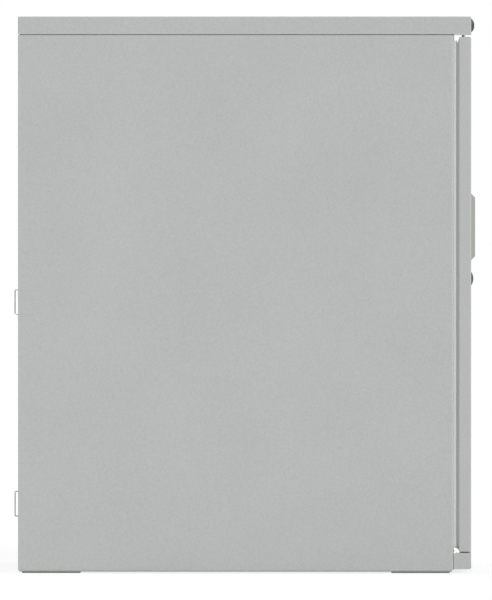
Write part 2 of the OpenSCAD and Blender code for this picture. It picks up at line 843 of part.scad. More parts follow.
module strap_loops() {
    inner_r = loop_r - loop_t;
    color(powder_coat) for (x = [-x_loop, x_loop], rise = [loop_lower, loop_upper])
        along_x(x - loop_w / 2, x + loop_w / 2) translate([y_rear, z_base + rise]) difference() {
            rounded_rect([-sheet, -loop_h / 2], [loop_proud, loop_h / 2], [0, loop_r, loop_r, 0]);
            rounded_rect([-sheet - cut, -loop_h / 2 + loop_t], [loop_proud - loop_t, loop_h / 2 - loop_t],
                         [0, inner_r, inner_r, 0]);
        }
}

module foot_pads() {
    x_out = x_side - foot_bend_r;
    r = [1, 1, 1, 1] * foot_r;
    color(rubber) for (y = [y_jamb + foot_inset, y_rear - foot_inset - foot_l])
        both_sides() along_z(0, foot_t)
            rounded_rect([x_out - foot_w, y], [x_out, y + foot_l], r);
}

module shelf_screw_places() {
    for (x = [-x_shelf_screw, x_shelf_screw], y = [y_rail + shelf_screw_end, y_rail_rear - shelf_screw_end])
        translate([x, y, z_shelf]) children();
}

module shelf() {
    middle = (y_shelf_rear - y_shelf) / 2;
    r = bend_r + shelf_t - sheet;
    color(powder_coat) difference() {
        along_x(-x_shelf, x_shelf) {
            translate([y_shelf, z_shelf]) mirror([0, 1]) folded_angle(middle, shelf_flange_h, shelf_t, r);
            translate([y_shelf_rear, z_shelf - shelf_t]) mirror([1, 0])
                folded_angle(middle, shelf_flange_h, shelf_t, r);
        }
        strap_slots(z_shelf - shelf_t, shelf_t);
        shelf_screw_places() hole(screw_d + 2 * screw_clear, shelf_t);
    }
}

module shelf_rail() {
    color(powder_coat) difference() {
        along_y(y_rail, y_rail_rear) translate([-x_side + sheet, z_shelf - shelf_t]) mirror([0, 1])
            folded_angle(rail_leg, rail_leg, rail_t, bend_r + rail_t - sheet);
        shelf_screw_places() hole(screw_d + 2 * screw_clear, shelf_t + rail_t);
    }
}

module left_shelf_rail() {
    shelf_rail();
}

module right_shelf_rail() {
    mirror([1, 0, 0]) shelf_rail();
}

module shelf_screws() {
    color(zinc_steel) shelf_screw_places() pan_screw(shelf_t + rail_t + screw_nut_t);
}

module shelf_nuts() {
    color(zinc_steel) shelf_screw_places() translate([0, 0, -shelf_t - rail_t - screw_nut_t])
        hex_nut(screw_nut_af, screw_nut_t, screw_d);
}

// Stands its children on the inside of the left side panel, with their +Z inwards
module at_earth_point() {
    translate([-x_side + sheet, y_jamb + earth_back, z_base + earth_rise]) rotate([0, 90, 0]) children();
}

module earth_stud() {
    color(zinc_steel) at_earth_point() {
        cylinder(h = earth_base_t, d = earth_base_d);
        cylinder(h = earth_l, d = earth_d);
    }
}

module earth_washer() {
    color(zinc_steel) at_earth_point() translate([0, 0, z_earth_washer]) difference() {
        cylinder(h = earth_washer_t, d = earth_washer_d);
        translate([0, 0, -cut]) cylinder(h = earth_washer_t + 2 * cut, d = earth_d + 2 * screw_clear);
    }
}

module earth_nuts() {
    color(zinc_steel) at_earth_point() for (z = [earth_base_t, z_earth_washer + earth_washer_t])
        translate([0, 0, z]) hex_nut(earth_nut_af, earth_nut_t, earth_d);
}

// The door's outside, or its inside when drawn in by the sheet's thickness
module door_block(inset) {
    low = [y_front + inset, z_door + inset];
    high = [y_return - inset, z_door_top - inset];
    end_slope = inset_slope(door_slope_d, door_slope_h, inset);
    side_slope = inset_slope(door_slope_d, door_slope_w, inset);
    edge_r = inset > 0 ? 0 : door_edge_r;
    x_edge = x_door - inset;
    intersection() {
        along_x(-x_edge - cut, x_edge + cut) difference() {
            polygon([
                low,
                [high.x - end_slope.x, low.y],
                [high.x, low.y + end_slope.y],
                [high.x, high.y - end_slope.y],
                [high.x - end_slope.x, high.y],
                [low.x, high.y]
            ]);
            if (edge_r > 0) {
                corner_cut([low.x, low.y, 1, 1], edge_r);
                corner_cut([low.x, high.y, 1, -1], edge_r);
            }
        }
        along_z(low.y - cut, high.y + cut) difference() {
            polygon([
                [-x_edge, low.x],
                [x_edge, low.x],
                [x_edge, high.x - side_slope.x],
                [x_edge - side_slope.y, high.x],
                [-x_edge + side_slope.y, high.x],
                [-x_edge, high.x - side_slope.x]
            ]);
            if (edge_r > 0) both_sides() corner_cut([-x_edge, low.x, 1, 1], edge_r);
        }
    }
}

// The end of a side return, which runs on past the slope of the top return
module return_tab() {
    y_inner = y_return - sheet;
    z_end = z_door_top - door_tab_drop;
    z_root = z_door_top - door_slope_h - sheet;
    along_x(x_door - door_return_w, x_door - door_slope_w)
        polygon([[y_inner, z_root], [y_return, z_root], [y_return, z_end], [y_inner, z_end - door_tab_cut]]);
}

module door_panel() {
    z_middle = (z_door + z_door_top) / 2;
    cup_low = [x_handle - cup_w / 2 - cup_wall - cup_clear, z_handle - cup_h / 2 - cup_wall - cup_clear];
    cup_high = [x_handle + cup_w / 2 + grip_w + cup_wall + cup_clear,
                z_handle + cup_h / 2 + cup_wall + cup_clear];
    color(powder_coat) difference() {
        union() {
            difference() {
                door_block(0);
                door_block(sheet);
            }
            both_sides() {
                return_tab();
                translate([0, 0, z_middle]) mirror([0, 0, 1]) translate([0, 0, -z_middle]) return_tab();
            }
        }
        box([-x_door + door_return_w, y_return - sheet - cut, z_door + door_return_w],
            [x_door - door_return_w, y_return + cut, z_door_top - door_return_w]);
        for (z = [z_door, z_door_top]) translate([x_hinge, y_hinge, z])
            hole(bush_d + 2 * seat_clear, bush_l);
        along_y(y_front - cut, y_front + sheet + cut)
            rounded_rect(cup_low, cup_high, [1, 1, 1, 1] * cup_clear);
        for (side = [-1, 1])
            facing_front(x_handle, y_front, z_handle + side * handle_stud_spacing / 2)
                hole(handle_stud_d + 2 * screw_clear, sheet);
        facing_front(x_handle, y_front, z_lock)
            hole(barrel_d + 2 * screw_clear, sheet);
    }
}

module door_stiffener() {
    y_skin = y_front + sheet;
    flange = [stiffener_w / 2 + stiffener_flange_w, stiffener_t];
    crown = [stiffener_w / 2, stiffener_d];
    hollow = [stiffener_w / 2 - stiffener_t, stiffener_d - stiffener_t];
    color(powder_coat) along_z(z_door + stiffener_end, z_door_top - stiffener_end)
        translate([0, y_skin]) difference() {
            union() {
                translate([-flange.x, 0]) square([2 * flange.x, flange.y]);
                translate([-crown.x, 0]) square([2 * crown.x, crown.y]);
            }
            translate([-hollow.x, -cut]) square([2 * hollow.x, hollow.y + cut]);
        }
}

// A bush with its mouth at the origin and its closed end downwards
module hinge_bush() {
    color(nylon) difference() {
        translate([0, 0, -bush_l]) cylinder(h = bush_l, d = bush_d);
        translate([0, 0, bush_end - bush_l]) cylinder(h = bush_l - bush_end + cut, d = pin_d + 2 * pin_clear);
    }
}

module upper_hinge_bush() {
    translate([x_hinge, y_hinge, z_door_top]) hinge_bush();
}

module lower_hinge_bush() {
    translate([x_hinge, y_hinge, z_door]) mirror([0, 0, 1]) hinge_bush();
}

module pull_handle() {
    y_face = y_front - handle_proud;
    y_back = y_front + cup_d;
    root = handle_proud / 2;
    half_w = handle_w / 2;
    half_h = handle_h / 2;
    open = [cup_w / 2, cup_h / 2];
    wall = [cup_wall, cup_wall];
    grip = [grip_w, 0];
    round = [1, 1, 1, 1] * cup_r;
    stud_l = sheet + handle_nut_t + handle_stud_end;
    color(die_cast) difference() {
        union() {
            translate([x_handle, 0, z_handle]) intersection() {
                along_z(-half_h - cut, half_h + cut) polygon([
                    [-half_w, y_front],
                    [-half_w + handle_proud, y_face],
                    [half_w - handle_proud, y_face],
                    [half_w, y_front]
                ]);
                along_x(-half_w - cut, half_w + cut) polygon([
                    [y_front, -half_h],
                    [y_face, -half_h + handle_proud],
                    [y_face, half_h - handle_proud],
                    [y_front, half_h]
                ]);
            }
            along_y(y_front - root, y_back) translate([x_handle, z_handle])
                rounded_rect(-open - wall, open + wall + grip, round);
            for (side = [-1, 1])
                facing_front(x_handle, y_front, z_handle + side * handle_stud_spacing / 2)
                    translate([0, 0, -stud_l]) cylinder(h = stud_l + root, d = handle_stud_d);
        }
        along_y(y_face - cut, y_back - cup_wall) translate([x_handle, z_handle])
            rounded_rect(-open, open, round);
        along_y(y_front + grip_lip, y_back - cup_wall) translate([x_handle, z_handle])
            rounded_rect(-open, open + grip, round);
    }
}

module handle_nuts() {
    color(zinc_steel) for (side = [-1, 1])
        facing_front(x_handle, y_front + sheet, z_handle + side * handle_stud_spacing / 2)
            mirror([0, 0, 1]) hex_nut(handle_nut_af, handle_nut_t, handle_stud_d);
}

// Stands its children on the lock's axis, with their origin on the door's front
module at_lock() {
    facing_front(x_handle, y_front, z_lock) children();
}

module lock_barrel() {
    step_d = plug_d + 2 * plug_step;
    color(dark_steel) at_lock() difference() {
        union() {
            dome(lock_head_d, lock_head_h);
            translate([0, 0, -barrel_l]) cylinder(h = barrel_l, d = barrel_d);
        }
        translate([0, 0, -barrel_l - cut])
            cylinder(h = barrel_l + lock_head_h + 2 * cut, d = plug_d + 2 * pin_clear);
        translate([0, 0, -plug_step_l - pin_clear])
            cylinder(h = plug_step_l + lock_head_h + cut, d = step_d + 2 * pin_clear);
    }
}

module lock_nut() {
    color(zinc_steel) facing_front(x_handle, y_front + sheet, z_lock) mirror([0, 0, 1])
        hex_nut(lock_nut_af, lock_nut_t, barrel_d);
}

module lock_plug() {
    step_d = plug_d + 2 * plug_step;
    color(dark_steel) at_lock() difference() {
        union() {
            intersection() {
                dome(lock_head_d, lock_head_h);
                cylinder(h = lock_head_h, d = step_d);
            }
            translate([0, 0, -plug_step_l]) cylinder(h = plug_step_l, d = step_d);
            translate([0, 0, -plug_l]) cylinder(h = plug_l, d = plug_d);
            translate([0, 0, -plug_l - cam_t / 2])
                cube([plug_square, plug_square, cam_t], center = true);
        }
        translate([0, 0, lock_head_h - keyway_d / 2])
            cube([keyway_w, keyway_l, keyway_d + cut], center = true);
        translate([0, 0, -plug_l - cam_t - cut])
            cylinder(h = cam_screw_l + cut, d = cam_screw_d + 2 * seat_clear);
    }
}

module lock_cam() {
    tip = [0, cam_w / 2 - cam_l];
    color(zinc_steel) at_lock() translate([0, 0, -plug_l - cam_t]) linear_extrude(cam_t) difference() {
        union() {
            circle(d = cam_w);
            translate([-cam_w / 2, tip.y]) square([cam_w, -tip.y]);
            translate(tip) circle(d = cam_w);
        }
        square(plug_square + 2 * cam_fit, center = true);
    }
}

module cam_screw() {
    color(zinc_steel) at_lock() translate([0, 0, -plug_l - cam_t]) {
        translate([0, 0, -cam_screw_head_h]) {
            cylinder(h = cam_screw_l + cam_screw_head_h - seat_clear, d = cam_screw_d);
            cylinder(h = cam_screw_head_h, d = cam_screw_head_d);
        }
    }
}

left_side_panel();
right_side_panel();
rear_panel();
floor_pan();
top_rail();
header();
header_screws();
header_nuts();
sill();
sill_screws();
sill_nuts();
lid();
lid_screws();
lid_rivnuts();
door_seal();
upper_hinge_pin();
lower_hinge_pin();
strap_loops();
foot_pads();
shelf();
left_shelf_rail();
right_shelf_rail();
shelf_screws();
shelf_nuts();
earth_stud();
earth_washer();
earth_nuts();
door_panel();
door_stiffener();
upper_hinge_bush();
lower_hinge_bush();
pull_handle();
handle_nuts();
lock_barrel();
lock_nut();
lock_plug();
lock_cam();
cam_screw();
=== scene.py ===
# %% [markdown]
# # A battery box
#
# The object is an upright steel box for two tiers of batteries. Its sheets are folded, spot welded
# and powder coated in light grey. A lid lifts off the top, a door turns on two pins at the front,
# and straps go through four small loops on the rear.
#
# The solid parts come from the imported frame, at their real size in metres. This lesson gives them
# their finishes, rounds the edges that a hand would feel, and models the pieces whose form is finer
# than a solid needs: the grooved seal, the rubber feet and the chamfered nuts.

# %% Load the frame
import json
import math

import bmesh
import bpy
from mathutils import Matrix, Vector

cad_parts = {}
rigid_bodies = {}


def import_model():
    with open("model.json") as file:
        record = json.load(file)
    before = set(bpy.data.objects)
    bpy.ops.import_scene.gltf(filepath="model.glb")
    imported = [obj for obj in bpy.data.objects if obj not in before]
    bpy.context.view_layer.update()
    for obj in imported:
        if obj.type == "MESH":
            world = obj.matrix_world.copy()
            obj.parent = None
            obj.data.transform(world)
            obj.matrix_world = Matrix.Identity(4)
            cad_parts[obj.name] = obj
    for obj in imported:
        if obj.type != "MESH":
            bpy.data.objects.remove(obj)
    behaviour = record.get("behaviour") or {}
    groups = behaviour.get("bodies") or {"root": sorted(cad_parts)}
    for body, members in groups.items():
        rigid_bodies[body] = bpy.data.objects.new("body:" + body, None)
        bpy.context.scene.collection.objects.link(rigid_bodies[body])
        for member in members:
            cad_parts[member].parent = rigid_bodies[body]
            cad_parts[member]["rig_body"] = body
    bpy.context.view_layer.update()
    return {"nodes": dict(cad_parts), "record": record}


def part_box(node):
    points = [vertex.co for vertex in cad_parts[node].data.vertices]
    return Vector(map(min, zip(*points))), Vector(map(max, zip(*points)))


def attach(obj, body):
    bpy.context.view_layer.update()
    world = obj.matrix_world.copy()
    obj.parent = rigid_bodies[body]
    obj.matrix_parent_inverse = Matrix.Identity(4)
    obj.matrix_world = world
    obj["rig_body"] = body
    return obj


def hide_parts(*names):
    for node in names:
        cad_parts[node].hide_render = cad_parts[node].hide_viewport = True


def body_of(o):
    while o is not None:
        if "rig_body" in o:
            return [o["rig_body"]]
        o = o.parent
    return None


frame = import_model()
MM = 0.001

# %% [markdown]
# ## The camera
#
# The photograph is almost a drawing: it looks square on to the left side, with no perspective to
# speak of. An orthographic camera would do that, but the other views would then crop the box. A
# very long lens from far away gives the same flat view. It stands level with the gap above the
# door, so that it looks straight through, and in line with the door's front, which it sees edge on.

# %% Camera
IMAGE_W, IMAGE_H = 492, 600
REAR_EDGE_PX = 17.87
FLOOR_LINE_PX = 573.3
PIXEL = 1.03 * MM
LENS_MM = 1200.0
SENSOR_MM = 36.0
CLIP_TIMES = 10

panel_low, panel_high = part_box("left_side_panel")
door_low, door_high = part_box("door_panel")
lid_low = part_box("lid")[0]

distance = LENS_MM / SENSOR_MM * IMAGE_H * PIXEL
aim = Vector((
    panel_low.x,
    panel_high.y - (IMAGE_W / 2 - REAR_EDGE_PX) * PIXEL,
    (FLOOR_LINE_PX - IMAGE_H / 2) * PIXEL,
))
camera = bpy.data.objects.new("camera", bpy.data.cameras.new("camera"))
camera.data.lens = LENS_MM
camera.data.sensor_width = SENSOR_MM
camera.data.clip_end = CLIP_TIMES * distance
camera.location = (panel_low.x - distance, door_low.y, (door_high.z + lid_low.z) / 2)
camera.rotation_euler = (aim - camera.location).to_track_quat("-Z", "Y").to_euler()
bpy.context.scene.collection.objects.link(camera)
bpy.context.scene.camera = camera
bpy.context.scene.view_settings.view_transform = "Standard"
print("camera:", round(distance, 1), "m from the left side")

# %% [markdown]
# ## Colours and nodes
#
# Colours are written as sRGB hex values, as a paint chart gives them, and Blender's shaders want
# linear light, so one function converts them. A second small function adds a shader node, sets its
# values and links its inputs. Every material below is made with these two, and with short helpers
# that start a material and link what varies over its surface. A Mix node has a set of sockets for
# each kind of data, with the same names in every set, so its sockets go by their places.

# %% Helpers for materials
FACTOR = 0
NUMBER_A, NUMBER_B, NUMBER_OUT = 2, 3, 0
COLOUR_A, COLOUR_B, COLOUR_OUT = 6, 7, 2
WHITE = (1, 1, 1, 1)


def linear(hex_colour):
    """An sRGB hex value as linear red, green, blue and alpha."""
    channels = [int(hex_colour[i:i + 2], 16) / 255 for i in (1, 3, 5)]
    return [c / 12.92 if c <= 0.04045 else ((c + 0.055) / 1.055) ** 2.4 for c in channels] + [1.0]


def add(tree, kind, settings=None, links=None):
    """Adds one node. A setting is an input, by name or place, or else a property of the node."""
    made = tree.nodes.new(kind)
    for key, value in (settings or {}).items():
        if isinstance(key, int) or key in made.inputs:
            made.inputs[key].default_value = value
        else:
            setattr(made, key, value)
    for key, source in (links or {}).items():
        tree.links.new(source, made.inputs[key])
    return made


def new_material(name, **values):
    """A material, its tree, its shader with the constant values, and its Object coordinates."""
    material = bpy.data.materials.new(name)
    material.use_nodes = True
    tree = material.node_tree
    tree.nodes.clear()
    constants = {key.replace("_", " "): value for key, value in values.items()}
    shader = add(tree, "ShaderNodeBsdfPrincipled", constants)
    add(tree, "ShaderNodeOutputMaterial", None, {"Surface": shader.outputs["BSDF"]})
    place = add(tree, "ShaderNodeTexCoord").outputs["Object"]
    return material, tree, shader, place


def vary(tree, shader, sources):
    """Links what varies over the surface to the shader's sockets."""
    for key, source in sources.items():
        tree.links.new(source, shader.inputs[key])


def per_metre(size_mm):
    """The scale of a pattern whose features are this many millimetres across."""
    return 1 / (size_mm * MM)


print("helpers: linear, add, new_material, vary, per_metre")

# %% [markdown]
# ## The studio
#
# The floor and the world are white to the camera, so the box stands before a plain white ground.
# The floor is drawn twice over: the camera sees a bright glow with a little shadow in it, and the
# rays that carry light meet plain white paper, which throws light back up under the edges.

# %% Floor
FLOOR_HALF = 30.0
FLOOR_DROP = 0.05 * MM
FLOOR_GLOW = 0.80
FLOOR_SEEN = 0.24
FLOOR_PAPER = 0.80


def seen_directly(tree):
    """One for camera rays and for mirror and glass rays, and zero for the rays that carry light."""
    path = add(tree, "ShaderNodeLightPath")
    mirror = add(tree, "ShaderNodeMath", {"operation": "ADD"}, {
        0: path.outputs["Is Camera Ray"],
        1: path.outputs["Is Glossy Ray"],
    })
    return add(tree, "ShaderNodeMath", {"operation": "ADD", "use_clamp": True}, {
        0: mirror.outputs["Value"],
        1: path.outputs["Is Transmission Ray"],
    })


mesh = bmesh.new()
bmesh.ops.create_grid(mesh, x_segments=1, y_segments=1, size=FLOOR_HALF)
bmesh.ops.translate(mesh, verts=mesh.verts[:], vec=(0, 0, -FLOOR_DROP))
floor = bpy.data.objects.new("floor", bpy.data.meshes.new("floor"))
mesh.to_mesh(floor.data)
mesh.free()
bpy.context.scene.collection.objects.link(floor)

floor_paper = bpy.data.materials.new("white_studio_paper")
floor_paper.use_nodes = True
tree = floor_paper.node_tree
tree.nodes.clear()
seen = seen_directly(tree).outputs["Value"]
paper = add(tree, "ShaderNodeMapRange", {"To Min": FLOOR_PAPER, "To Max": FLOOR_SEEN}, {
    "Value": seen,
})
matt = add(tree, "ShaderNodeBsdfDiffuse", None, {"Color": paper.outputs["Result"]})
bright = add(tree, "ShaderNodeMath", {"operation": "MULTIPLY", 1: FLOOR_GLOW}, {0: seen})
glow = add(tree, "ShaderNodeEmission", {"Color": WHITE}, {"Strength": bright.outputs["Value"]})
both = add(tree, "ShaderNodeAddShader", None, {
    0: matt.outputs["BSDF"],
    1: glow.outputs["Emission"],
})
add(tree, "ShaderNodeOutputMaterial", None, {"Surface": both.outputs["Shader"]})
floor.data.materials.append(floor_paper)
print("floor:", 2 * FLOOR_HALF, "m wide, in", floor_paper.name)

# %% World
WORLD_SEEN = 1.0
WORLD_LIGHT = 0.42

world = bpy.data.worlds.new("white_studio")
bpy.context.scene.world = world
world.use_nodes = True
tree = world.node_tree
tree.nodes.clear()
level = add(tree, "ShaderNodeMapRange", {"To Min": WORLD_LIGHT, "To Max": WORLD_SEEN}, {
    "Value": seen_directly(tree).outputs["Value"],
})
sky = add(tree, "ShaderNodeBackground", {"Color": WHITE}, {"Strength": level.outputs["Result"]})
add(tree, "ShaderNodeOutputWorld", None, {"Surface": sky.outputs["Background"]})
print("world:", WORLD_LIGHT, "of light, and", WORLD_SEEN, "where it is seen")

# %% [markdown]
# ## The lamps
#
# The lamps are suns. A lamp close by would light one end of a large flat panel more than the other.
# A sun lights it evenly, as in the photograph, and a wide disc keeps its shadows soft. The one on
# the far side is narrow and almost level, so that it shines through the gap under the door and the
# notch there is bright. Together with the world they add up to about one unit of light on each side
# that shows, so a colour renders about as it is written.

# %% Lamps
WIDE_DISC = math.radians(30)
NARROW_DISC = math.radians(1)
SUNS = {
    "key": ((-0.88, -0.68, 0.46), 1.74, WIDE_DISC),
    "front": ((0.30, -0.85, 0.60), 0.45, WIDE_DISC),
    "rear": ((0.20, 0.85, 0.60), 1.00, WIDE_DISC),
    "through": ((1.0, 0.0, 0.014), 1.10, NARROW_DISC),
}
for name, (towards, strength, disc) in SUNS.items():
    lamp = bpy.data.objects.new("sun_" + name, bpy.data.lights.new("sun_" + name, "SUN"))
    lamp.data.energy = strength
    lamp.data.angle = disc
    lamp.rotation_euler = Vector(towards).to_track_quat("Z", "Y").to_euler()
    bpy.context.scene.collection.objects.link(lamp)
print("lamps:", len(SUNS), "suns")

# %% [markdown]
# ## Powder coat
#
# The sheets are sprayed with dry polyester powder, which melts in an oven to a tough skin. It flows
# but never quite level, so the skin keeps a very fine stipple, like the peel of an orange, and its
# gloss is soft. A noise drives the tone, the gloss and the bump together, because all three come
# from the same grains. The real grains are about 0.6 mm across. They are drawn at 1.7 mm, because a
# pixel of the render is about one millimetre and finer grains would average out.

# %% Powder coat
STIPPLE_MM, STIPPLE_DEPTH_MM = 1.7, 0.06
CLOUD_MM, CLOUD_SHARE = 90.0, 0.2
COAT_ROUGH = 0.48, 0.62


def powder_coat(name, dark, light):
    material, tree, shader, place = new_material(name, IOR=1.5, Metallic=0.0)
    stipple = add(tree, "ShaderNodeTexNoise", {
        "Scale": per_metre(STIPPLE_MM), "Detail": 2.0, "Roughness": 0.55,
    }, {"Vector": place}).outputs["Fac"]
    cloud = add(tree, "ShaderNodeTexNoise", {
        "Scale": per_metre(CLOUD_MM), "Detail": 2.0, "Roughness": 0.5,
    }, {"Vector": place}).outputs["Fac"]
    grain = add(tree, "ShaderNodeMix", {FACTOR: CLOUD_SHARE}, {
        NUMBER_A: stipple, NUMBER_B: cloud,
    }).outputs[NUMBER_OUT]
    tone = add(tree, "ShaderNodeMix", {
        "data_type": "RGBA", COLOUR_A: linear(dark), COLOUR_B: linear(light),
    }, {FACTOR: grain}).outputs[COLOUR_OUT]
    gloss = add(tree, "ShaderNodeMapRange", {
        "To Min": COAT_ROUGH[0], "To Max": COAT_ROUGH[1],
    }, {"Value": stipple}).outputs["Result"]
    bump = add(tree, "ShaderNodeBump", {
        "Strength": 0.35, "Distance": STIPPLE_DEPTH_MM * MM,
    }, {"Height": stipple}).outputs["Normal"]
    vary(tree, shader, {"Base Color": tone, "Roughness": gloss, "Normal": bump})
    return material


light_grey_coat = powder_coat("light_grey_powder_coat", "#A5A7A6", "#C5C7C6")
print("made", light_grey_coat.name)

# %% [markdown]
# ## Zinc plate
#
# The small screws and nuts are steel with a thin, bright coat of zinc, sealed in a bath that leaves
# a faint blue cast. Barrel plating tumbles the pieces together, so the brightness varies in soft
# patches. It is a metal, so all its colour is in its reflection. The two hinge pins are ground
# first, so that the door runs freely on them, and their shine is sharper.

# %% Zinc plate
PATCH_MM, PATCH_DEPTH_MM = 3.0, 0.02
ZINC_ROUGH = 0.28, 0.42
GROUND_ROUGH = 0.06, 0.10


def plated(name, dark, light, rough):
    material, tree, shader, place = new_material(name, Metallic=1.0)
    patch = add(tree, "ShaderNodeTexNoise", {
        "Scale": per_metre(PATCH_MM), "Detail": 3.0, "Roughness": 0.6,
    }, {"Vector": place}).outputs["Fac"]
    tone = add(tree, "ShaderNodeMix", {
        "data_type": "RGBA", COLOUR_A: linear(dark), COLOUR_B: linear(light),
    }, {FACTOR: patch}).outputs[COLOUR_OUT]
    gloss = add(tree, "ShaderNodeMapRange", {
        "To Min": rough[0], "To Max": rough[1],
    }, {"Value": patch}).outputs["Result"]
    bump = add(tree, "ShaderNodeBump", {
        "Strength": 0.15, "Distance": PATCH_DEPTH_MM * MM,
    }, {"Height": patch}).outputs["Normal"]
    vary(tree, shader, {"Base Color": tone, "Roughness": gloss, "Normal": bump})
    return material


zinc_plate = plated("bright_zinc_plate", "#A3A6A9", "#C2C5C8", ZINC_ROUGH)
ground_steel = plated("ground_zinc_steel", "#B0B3B6", "#C8CBCE", GROUND_ROUGH)
print("made", zinc_plate.name, ground_steel.name)

# %% [markdown]
# ## Darkened steel
#
# The lid's screws and the lock's face are plated steel too. Their deep warm grey is painted
# shade: a painted dark reflection that stands for the dark surroundings the metal mirrors. A satin
# roughness keeps their highlights broad.

# %% Darkened steel
DARK_STEEL_ROUGH = 0.50, 0.62

# The dark base colour is painted shade, a painted dark reflection of the surroundings.
painted_dark_steel = plated("steel_with_painted_dark_reflection", "#464645", "#61605E", DARK_STEEL_ROUGH)
print("made", painted_dark_steel.name)

# %% [markdown]
# ## Painted zinc casting
#
# The pull is cast in zinc and painted a slightly warmer grey than the box. A casting's skin is
# smoother than the sheet's powder, with a faint waviness from the die. The paint's own grain is
# finer than a pixel, so it is drawn at 1.2 mm to show at all.

# %% Painted casting
WAVE_MM, WAVE_DEPTH_MM = 6.0, 0.05
PAINT_GRAIN_MM = 1.2
PAINT_ROUGH = 0.40, 0.52


def painted_casting(name, dark, light):
    material, tree, shader, place = new_material(name, IOR=1.48, Metallic=0.0)
    wave = add(tree, "ShaderNodeTexNoise", {
        "Scale": per_metre(WAVE_MM), "Detail": 1.0,
    }, {"Vector": place}).outputs["Fac"]
    grain = add(tree, "ShaderNodeTexNoise", {
        "Scale": per_metre(PAINT_GRAIN_MM), "Detail": 2.0,
    }, {"Vector": place}).outputs["Fac"]
    tone = add(tree, "ShaderNodeMix", {
        "data_type": "RGBA", COLOUR_A: linear(dark), COLOUR_B: linear(light),
    }, {FACTOR: grain}).outputs[COLOUR_OUT]
    gloss = add(tree, "ShaderNodeMapRange", {
        "To Min": PAINT_ROUGH[0], "To Max": PAINT_ROUGH[1],
    }, {"Value": wave}).outputs["Result"]
    bump = add(tree, "ShaderNodeBump", {
        "Strength": 0.2, "Distance": WAVE_DEPTH_MM * MM,
    }, {"Height": wave}).outputs["Normal"]
    vary(tree, shader, {"Base Color": tone, "Roughness": gloss, "Normal": bump})
    return material


warm_grey_casting = painted_casting("warm_grey_painted_casting", "#959691", "#A1A29D")
print("made", warm_grey_casting.name)

# %% [markdown]
# ## Rubber
#
# The seal is a strip of pale cellular rubber: closed pores give it a fine pitted skin and no shine.
# The feet are solid, dark, moulded rubber with a matt grain. A noise would give soft clouds, and
# pores are small round cells, so both use a Voronoi pattern.

# %% Rubber
PORE_MM, PORE_DEPTH_MM = 0.9, 0.08
MOULD_GRAIN_MM, MOULD_DEPTH_MM = 0.7, 0.04
RUBBER_ROUGH = 0.92, 0.78


def rubber(name, dark, light, cell_mm, depth_mm):
    material, tree, shader, place = new_material(name, IOR=1.52, Metallic=0.0)
    cell = add(tree, "ShaderNodeTexVoronoi", {
        "Scale": per_metre(cell_mm),
    }, {"Vector": place}).outputs["Distance"]
    tone = add(tree, "ShaderNodeMix", {
        "data_type": "RGBA", COLOUR_A: linear(dark), COLOUR_B: linear(light),
    }, {FACTOR: cell}).outputs[COLOUR_OUT]
    gloss = add(tree, "ShaderNodeMapRange", {
        "To Min": RUBBER_ROUGH[0], "To Max": RUBBER_ROUGH[1],
    }, {"Value": cell}).outputs["Result"]
    bump = add(tree, "ShaderNodeBump", {
        "Strength": 0.4, "Distance": depth_mm * MM,
    }, {"Height": cell}).outputs["Normal"]
    vary(tree, shader, {"Base Color": tone, "Roughness": gloss, "Normal": bump})
    return material


seal_rubber = rubber("pale_cellular_rubber", "#C4C6CA", "#D4D6DA", PORE_MM, PORE_DEPTH_MM)
foot_rubber = rubber("dark_moulded_rubber", "#7A7A76", "#8C8C87", MOULD_GRAIN_MM, MOULD_DEPTH_MM)
print("made", seal_rubber.name, foot_rubber.name)

# %% [markdown]
# ## Nylon
#
# The hinge bushes are moulded in natural nylon, which is left undyed. It is milky, because light
# goes a little way into it, and the flow in the mould leaves faint patches.

# %% Nylon
FLOW_MM, MILKY_MM = 3.0, 1.0
NYLON_ROUGH = 0.38, 0.50


def natural_nylon(name, dark, light):
    material, tree, shader, place = new_material(
        name, IOR=1.53, Metallic=0.0, Subsurface_Weight=0.2, Subsurface_Scale=MILKY_MM * MM,
    )
    flow = add(tree, "ShaderNodeTexNoise", {
        "Scale": per_metre(FLOW_MM), "Detail": 2.0,
    }, {"Vector": place}).outputs["Fac"]
    tone = add(tree, "ShaderNodeMix", {
        "data_type": "RGBA", COLOUR_A: linear(dark), COLOUR_B: linear(light),
    }, {FACTOR: flow}).outputs[COLOUR_OUT]
    gloss = add(tree, "ShaderNodeMapRange", {
        "To Min": NYLON_ROUGH[0], "To Max": NYLON_ROUGH[1],
    }, {"Value": flow}).outputs["Result"]
    vary(tree, shader, {"Base Color": tone, "Roughness": gloss})
    return material


milky_nylon = natural_nylon("natural_nylon", "#D3D2CB", "#DFDED8")
print("made", milky_nylon.name)

# %% [markdown]
# ## Dressing the solid parts
#
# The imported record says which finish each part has. One table turns its names into the materials
# above, a second gives the two hinge pins their own finish, and each part gets its material in its
# first slot.

# %% Finishes on the solid parts
FINISHES = {
    "powder_coat": light_grey_coat,
    "zinc_steel": zinc_plate,
    # the dark steel parts get the painted dark reflection
    "dark_steel": painted_dark_steel,
    "die_cast": warm_grey_casting,
    "seal_rubber": seal_rubber,
    "foot_rubber": foot_rubber,
    "nylon": milky_nylon,
}
OWN_FINISHES = {
    "upper_hinge_pin": ground_steel,
    "lower_hinge_pin": ground_steel,
}
slot_of = {part["node"]: part["material_slot"] for part in frame["record"]["subparts"]}
finish_of = {node: OWN_FINISHES.get(node, FINISHES[slot]) for node, slot in slot_of.items()}
for node, part in frame["nodes"].items():
    part.data.materials.clear()
    part.data.materials.append(finish_of[node])
print("dressed", len(slot_of), "parts")

# %% [markdown]
# ## How a piece is made
#
# Each new piece is built as a bmesh, which is Blender's editable mesh, and one function turns it
# into an object. The object stays at the origin with its place in its mesh, rides on the body that
# carries it, takes a finish, and hides the solid that it stands for. A small bevel beside a large
# flat face bends the shading of the whole face, so a Weighted Normal modifier lets the large faces
# stay level.

# %% Helper that adds a piece
SMOOTH = math.radians(32)
FLAT_WEIGHT = 100


